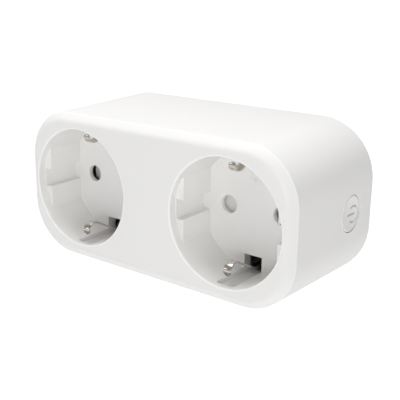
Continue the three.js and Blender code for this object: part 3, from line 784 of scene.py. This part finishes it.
class Finish(Graph):
    """A material made of nodes around one Principled shader. Constants go straight onto the shader's
    sockets."""

    def __init__(self, name, **constants):
        self.material = bpy.data.materials.new(name)
        self.material.use_nodes = True
        super().__init__(self.material.node_tree)
        self.shader = self.tree.nodes["Principled BSDF"]
        for socket, value in constants.items():
            self.set(socket.replace("_", " "), value)
        self.place = self.node("ShaderNodeTexCoord", output="Object")

    def set(self, socket, value):
        self.feed(self.shader.inputs[socket], value)

    def axes(self):
        """The three coordinates of a point."""
        return [self.node("ShaderNodeSeparateXYZ", {}, {0: self.place}, axis) for axis in range(3)]

    def noise(self, size, detail=2.0, stretch=(1, 1, 1)):
        """Soft noise from 0 to 1 whose grains are about size millimetres, stretched by a factor along
        each axis."""
        scale = [1 / (size * MM * s) for s in stretch]
        place = self.node("ShaderNodeMapping", {}, {"Vector": self.place, "Scale": scale}, "Vector")
        inputs = {"Vector": place, "Scale": 1.0, "Detail": detail, "Roughness": 0.5}
        return self.node("ShaderNodeTexNoise", {}, inputs)

    def bump(self, height, distance, strength=1.0):
        """Surface relief from a height of 0 to 1 times distance in millimetres."""
        inputs = {"Height": height, "Distance": distance * MM, "Strength": strength}
        self.set("Normal", self.node("ShaderNodeBump", {}, inputs, "Normal"))


def rgba(*colour):
    return (*colour, 1.0)


def moulded(name, colour, rough, grain=0.35, relief=0.004, tone=0.985, edge=0.0, **constants):
    """Moulded plastic: a fine spark-eroded grain, slightly uneven gloss and a very faint drift of tone. With
    edge, the rounds of the wells' rims and of the housing's crease are made lighter by edge: a painted
    highlight."""
    finish = Finish(name, **constants)
    drift = finish.noise(22, 3)
    deeper = [channel * tone for channel in colour]
    body = finish.mix(drift, rgba(*colour), rgba(*deeper))
    if edge:
        # painted highlight: the rounds of the well rims and of the front crease are made lighter by edge
        body = finish.mix(painted_edge_highlight(finish), body, rgba(*[min(channel + edge, 1) for channel in colour]))
    finish.set("Base Color", body)
    fine = finish.noise(grain, 3)
    finish.set("Roughness", rough - 0.05 + drift * 0.06 + fine * 0.05)
    finish.bump(fine, relief)
    return finish.material


WELL_SURROUND = 21.5  # distance from a well's axis that clears the whole well


def painted_edge_highlight(finish):
    """1 on the rounds of the two well rims and on the crease round the front, where the painted highlight
    goes, 0 elsewhere.
    """
    x, y, z = finish.axes()
    across = x.math("ABSOLUTE", x) - SOCKET_X["right"] * MM
    from_axis = x.math("SQRT", across * across + z * z)
    rim = band(from_axis, WELL_RADIUS + RIM_ROUND * 0.55, 0.4) * band(y, FRONT, RIM_ROUND)
    outside = x.math("GREATER_THAN", from_axis, WELL_SURROUND * MM)
    return rim + band(y, FRONT + ROLL_DEPTH, 0.16) * outside


def band(value, middle, reach):
    """1 where a length is within reach of a middle, both in millimetres, fading to 0 over the outer
    half."""
    away = value.math("ABSOLUTE", value - middle * MM)
    return value.graph.node("ShaderNodeMapRange", {"interpolation_type": "SMOOTHSTEP"},
                             {"Value": away, "From Min": reach * MM, "From Max": reach * MM / 2})


def plated(name, colour, rough, along=(1, 8, 1), relief=0.002, painted_dark_tips=False):
    """Plated or pressed metal: drawing lines along the strip, cloudy gloss and faint handling marks. When
    asked, the ends of the earth clips are painted darker in a mottle: painted shade for the dark reflection
    there."""
    finish = Finish(name, Metallic=1.0)
    lines = finish.noise(0.12, 2, along)
    cloud = finish.noise(2.5, 3)
    worn = [channel * 0.8 for channel in colour]
    body = finish.mix(cloud * 0.7, rgba(*colour), rgba(*worn))
    if painted_dark_tips:
        _, y, z = finish.axes()
        # painted shade: the clip ends are darkened in a mottle, standing in for the dark reflection that
        # they show
        cut = band(y, FRONT + 3.2, 1.0) * z.math("GREATER_THAN", z.math("ABSOLUTE", z), 15.7 * MM)
        painted_tip_shade = [channel * 0.3 for channel in colour]
        body = finish.mix(cut * (0.3 + finish.noise(0.4, 2)), body, rgba(*painted_tip_shade))
    finish.set("Base Color", body)
    finish.set("Roughness", rough + lines * 0.12 + cloud * 0.08)
    finish.bump(lines, relief)
    return finish.material


def solder_mask(name, mask, copper):
    """A circuit board: glossy solder mask with slightly raised copper tracks showing through it."""
    finish = Finish(name)
    wander = finish.noise(6, 0)
    bands = finish.noise(2.2, 0, (1, 1, 6))
    track = finish.node("ShaderNodeMapRange", {"interpolation_type": "SMOOTHSTEP"},
                        {"Value": bands + wander * 0.3, "From Min": 0.62, "From Max": 0.66})
    finish.set("Base Color", finish.mix(track * 0.6, rgba(*mask), rgba(*copper)))
    finish.set("Roughness", 0.3 + finish.noise(0.5) * 0.1)
    finish.bump(track, 0.02)
    return finish.material


def light_guide(name, dim, clear):
    """Milky grey plastic for the symbol, with a painted highlight: lighter on the part of the ring that runs
    round behind, where light falls on the raised stroke.
    """
    finish = Finish(name)
    _, y, z = finish.axes()
    # painted highlight: the back part of the symbol's ring is made lighter, where light falls on the raised
    # stroke
    painted_lit_part = y.math("GREATER_THAN", y - z * 0.35, (SYMBOL_Y + 0.9) * MM)
    finish.set("Base Color", finish.mix(painted_lit_part * 0.85, rgba(*dim), rgba(*clear)))
    finish.set("Roughness", 0.25 + finish.noise(0.4) * 0.1)
    return finish.material


FINISHES = {
    "white_plastic": moulded("white_plastic", (0.925, 0.918, 0.905), 0.36, edge=0.08),
    "inner_plastic": moulded("inner_plastic", (0.80, 0.79, 0.76), 0.5, relief=0.006),
    "nickel": plated("nickel", (0.72, 0.67, 0.61), 0.12, painted_dark_tips=True),
    "brass": plated("brass", (0.80, 0.62, 0.32), 0.28),
    "steel": plated("steel", (0.68, 0.69, 0.70), 0.28),
    "circuit_board": solder_mask("circuit_board", (0.02, 0.16, 0.07), (0.10, 0.36, 0.16)),
    "black_parts": moulded("black_parts", (0.025, 0.025, 0.028), 0.45, relief=0.008),
    "blue_parts": moulded("blue_parts", (0.02, 0.08, 0.28), 0.35),
    "yellow_parts": moulded("yellow_parts", (0.75, 0.50, 0.10), 0.4),
    "light_guide": light_guide("light_guide", (0.52, 0.52, 0.51), (0.80, 0.80, 0.79)),
}


# ------------------------------------------------------------------ the pieces on their bodies
SLOT_OF = {row["node"]: row["material_slot"] for row in frame["record"]["subparts"]}
ON_BUTTON = ("button_light_guide", "switch_plunger")
replaced = set()


def dress(piece, body, slot, *nodes):
    """Gives a new piece its body, its finish and the CAD nodes that it stands for."""
    piece.data.materials.clear()
    piece.data.materials.append(FINISHES[slot])
    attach(piece, body)
    if nodes:
        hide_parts(*nodes)
        replaced.update(nodes)


for node, slot in SLOT_OF.items():
    carried = frame["nodes"][node]
    carried.data.materials.clear()
    carried.data.materials.append(FINISHES[slot])

dress(front_panel(), "housing", "white_plastic", "front_panel")
dress(body_shell(), "housing", "white_plastic", "body_shell")
dress(rear_cover(), "housing", "white_plastic", "rear_cover")
for side in SOCKET_X:
    for end in ENDS:
        dress(earth_clip(side, end), f"clip_{side}_{end}", "nickel", f"earth_clip_{side}_{end}")
    dress(shutter(side), f"shutter_{side}", "inner_plastic", f"shutter_{side}")
    dress(spring_coil(side), "housing", "steel", f"shutter_spring_{side}")
dress(plug_pin("live_pin", PIN_X), "housing", "nickel", "live_pin")
dress(plug_pin("neutral_pin", -PIN_X), "housing", "nickel", "neutral_pin")
for end in ENDS:
    dress(plug_earth_strip(end), "housing", "nickel", f"plug_earth_strip_{end}")
for number, (x, z) in enumerate(POSTS, 1):
    dress(cover_screw(number, x, z), "housing", "steel", f"cover_screw_{number}")
dress(button_cap(), "button", "white_plastic", "button_cap")
for node in sorted(set(SLOT_OF) - replaced):
    dress(softened(node), "button" if node in ON_BUTTON else "housing", SLOT_OF[node], node)
for mark in power_symbol():
    dress(mark, "button", "light_guide")
for side in SOCKET_X:
    for mark in earth_mark(side):
        dress(mark, "housing", "white_plastic")


# ------------------------------------------------------------------ floor, light and camera
FLOOR_GLOW, FLOOR_REACH, FLOOR_GAP = 0.76, 12.0, 0.0002
SKY_GLOW = 0.36
WHITE = (1.0, 1.0, 1.0)
LIGHTS = {  # place, size and power
    "overhead": ((-0.13, 0.0, 0.9), 0.65, 8.6),
    "front_right": ((0.38, -0.88, 0.12), 0.3, 1.7),
    "front_left": ((-0.6, -0.75, 0.35), 0.2, 0.35),
    "right": ((0.9, -0.5, 0.2), 0.4, 1.7),
}
LIGHTS_AIM = Vector((0, -0.04, 0))
CAMERA = {
    "azimuth": 37.44, "elevation": 16.17, "roll": 0.574, "distance": 0.25097, "lens": 67.7,
    "shift": (0.0221, -0.0281),
}


def stage_floor():
    """A wide floor just under the object's lowest point, which glows softly and shows as plain white."""
    level = cad_box[0][2] - FLOOR_GAP
    mesh = bpy.data.meshes.new("floor")
    corners = [(sx * FLOOR_REACH, sy * FLOOR_REACH, level) for sx, sy in QUADRANTS]
    mesh.from_pydata(corners, [], [(0, 1, 2, 3)])
    floor = bpy.data.objects.new("floor", mesh)
    bpy.context.scene.collection.objects.link(floor)
    paint = Finish("floor", Roughness=0.9, Emission_Strength=1.0)
    seen = paint.node("ShaderNodeLightPath", output="Is Camera Ray")
    paint.set("Emission Color", paint.mix(seen, rgba(*[FLOOR_GLOW] * 3), rgba(*WHITE)))
    tone = paint.noise(300, 2)
    paint.set("Base Color", paint.mix(tone, rgba(0.10, 0.10, 0.10), rgba(0.09, 0.09, 0.09)))
    mesh.materials.append(paint.material)


def soft_light(name, place, size, power):
    """A square soft box turned towards the object."""
    lamp = bpy.data.lights.new(name, "AREA")
    lamp.shape = "SQUARE"
    lamp.size = size
    lamp.energy = power
    light = bpy.data.objects.new(name, lamp)
    light.location = place
    light.rotation_euler = (LIGHTS_AIM - Vector(place)).to_track_quat("-Z", "Y").to_euler()
    bpy.context.scene.collection.objects.link(light)


def sky(from_left):
    """A surround whose light grows from nothing at +X to from_left at -X, and which shows as plain
    white."""
    world = bpy.data.worlds.new("surround")
    world.use_nodes = True
    graph = Graph(world.node_tree)
    facing = graph.node("ShaderNodeTexCoord", output="Generated")
    x = graph.node("ShaderNodeSeparateXYZ", {}, {0: facing})
    light = (1 - x) * (from_left / 2)
    seen = graph.node("ShaderNodeLightPath", output="Is Camera Ray")
    background = graph.tree.nodes["Background"]
    graph.feed(background.inputs["Color"], rgba(*WHITE))
    graph.feed(background.inputs["Strength"], seen + (1 - seen) * light)
    bpy.context.scene.world = world


def camera():
    """A camera on a sphere about the middle of the housing, looking at it, with a slight roll and
    shift."""
    azimuth, elevation, roll = (math.radians(CAMERA[key]) for key in ("azimuth", "elevation", "roll"))
    level = math.cos(elevation)
    away = Vector((math.sin(azimuth) * level, -math.cos(azimuth) * level, math.sin(elevation)))
    right = Vector((math.cos(azimuth), math.sin(azimuth), 0))
    up = away.cross(right)
    tilted = right * math.cos(roll) + up * math.sin(roll)
    lens = bpy.data.cameras.new("camera")
    lens.lens = CAMERA["lens"]
    lens.sensor_width = 36
    lens.shift_x, lens.shift_y = CAMERA["shift"]
    lens.clip_start, lens.clip_end = 0.01, 50
    view = bpy.data.objects.new("camera", lens)
    turn = Matrix((tilted, away.cross(tilted), away)).transposed().to_4x4()
    aim = Vector((0, (FRONT + BACK) / 2 * MM, 0))
    view.matrix_world = Matrix.Translation(aim + away * CAMERA["distance"]) @ turn
    bpy.context.scene.collection.objects.link(view)
    bpy.context.scene.camera = view


stage_floor()
sky(SKY_GLOW)
for name, row in LIGHTS.items():
    soft_light(name, *row)
camera()
bpy.context.scene.view_settings.view_transform = "Standard"
